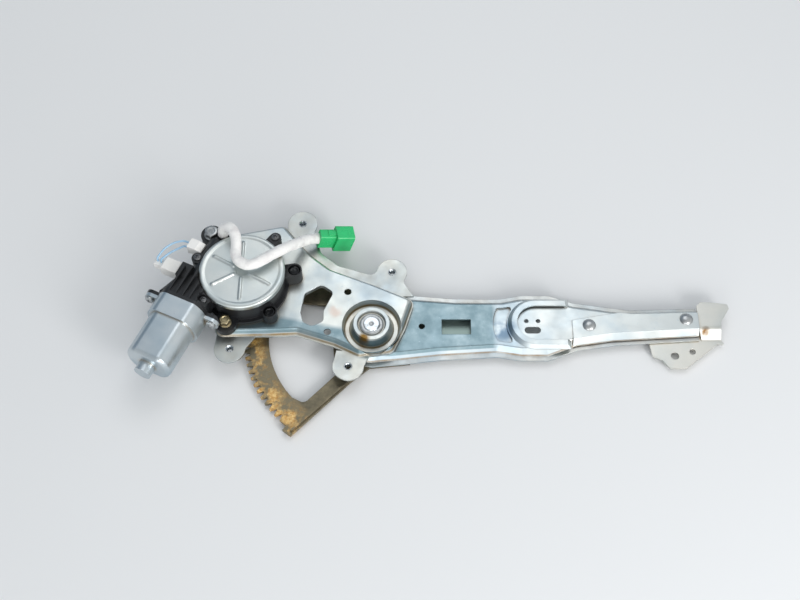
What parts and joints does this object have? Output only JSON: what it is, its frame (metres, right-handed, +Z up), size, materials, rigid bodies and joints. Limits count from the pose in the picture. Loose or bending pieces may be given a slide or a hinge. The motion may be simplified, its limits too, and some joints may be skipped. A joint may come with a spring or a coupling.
{
  "type": "window regulator",
  "caption": "Single-arm window regulator: worm motor, toothed sector and pressed lift arm on a base plate.",
  "frame": {"origin": "on the arm's pivot axis, at the lower face of the pivot pin's head", "axes": "+Z up along the pivot, +X from the pivot along the lift arm to its tip"},
  "size_m": [0.4796, 0.2026, 0.0627],
  "materials": {
    "zinc_plate": "bright zinc-plated pressed steel",
    "zinc_steel": "zinc-plated fasteners",
    "bright_steel": "bright turned steel",
    "acetal": "natural acetal",
    "black_nylon": "glass-filled black nylon",
    "cover_zinc": "pressed zinc-plated lid",
    "rubber_seal": "black rubber",
    "can_zinc": "drawn zinc-plated can",
    "sintered_bronze": "sintered bronze",
    "ferrite": "sintered ferrite or carbon",
    "white_plug": "white moulded nylon",
    "wire_sleeve": "pale blue and white PVC insulation",
    "white_tape": "white harness tape",
    "green_plastic": "green moulded connector",
    "brass_terminal": "tinned brass blades",
    "lamination_steel": "stacked laminations",
    "copper_winding": "enamelled copper",
    "sector_steel": "oiled olive-brown steel"
  },
  "bodies": {
    "base": {"base_plate": "zinc_plate", "weld_nuts": "zinc_steel", "pivot_pin": "bright_steel", "pivot_washer": "acetal", "gear_housing": "black_nylon", "gear_cover": "cover_zinc", "cover_seal": "rubber_seal", "cover_screws": "zinc_steel", "mount_bolts": "zinc_steel", "motor_can": "can_zinc", "can_screws": "zinc_steel", "end_bearing": "sintered_bronze", "motor_magnets": "ferrite", "brush_holder": "black_nylon", "carbon_brushes": "ferrite", "power_plug": "white_plug", "signal_plug": "white_plug", "jumper_wires": "wire_sleeve", "harness_gland": "rubber_seal", "harness_cord": "white_tape", "connector_plug": "green_plastic", "connector_shell": "green_plastic", "connector_terminals": "brass_terminal"},
    "armature": {"armature_shaft": "bright_steel", "armature_core": "lamination_steel", "armature_windings": "copper_winding", "commutator": "copper_winding"},
    "output": {"output_shaft": "bright_steel", "worm_wheel": "acetal"},
    "arm": {"sector_gear": "sector_steel", "lift_arm": "zinc_plate", "arm_cap": "zinc_plate", "arm_rivets": "bright_steel", "tip_bracket": "zinc_plate", "pivot_bush": "acetal"}
  },
  "joints": [
    {"name": "motor_spin", "type": "hinge", "parent": "base", "child": "armature", "pos_m": [-0.13109, 0.04947, 0.033], "axis": [-0.4163, -0.9092, 0], "range_deg": [-42840, 5712]},
    {"name": "output_spin", "type": "hinge", "parent": "base", "child": "output", "pos_m": [-0.10363, 0.0369, 0.033], "axis": [0, 0, 1], "range_deg": [-102, 765]},
    {"name": "arm_lift", "type": "hinge", "parent": "base", "child": "arm", "pos_m": [0, 0, 0.005], "axis": [0, 0, 1], "range_deg": [-60, 8]}
  ],
  "couplings": [
    {"joint": "output_spin", "follows": "motor_spin", "ratio": -0.017857},
    {"joint": "arm_lift", "follows": "motor_spin", "ratio": 0.0014006}
  ]
}
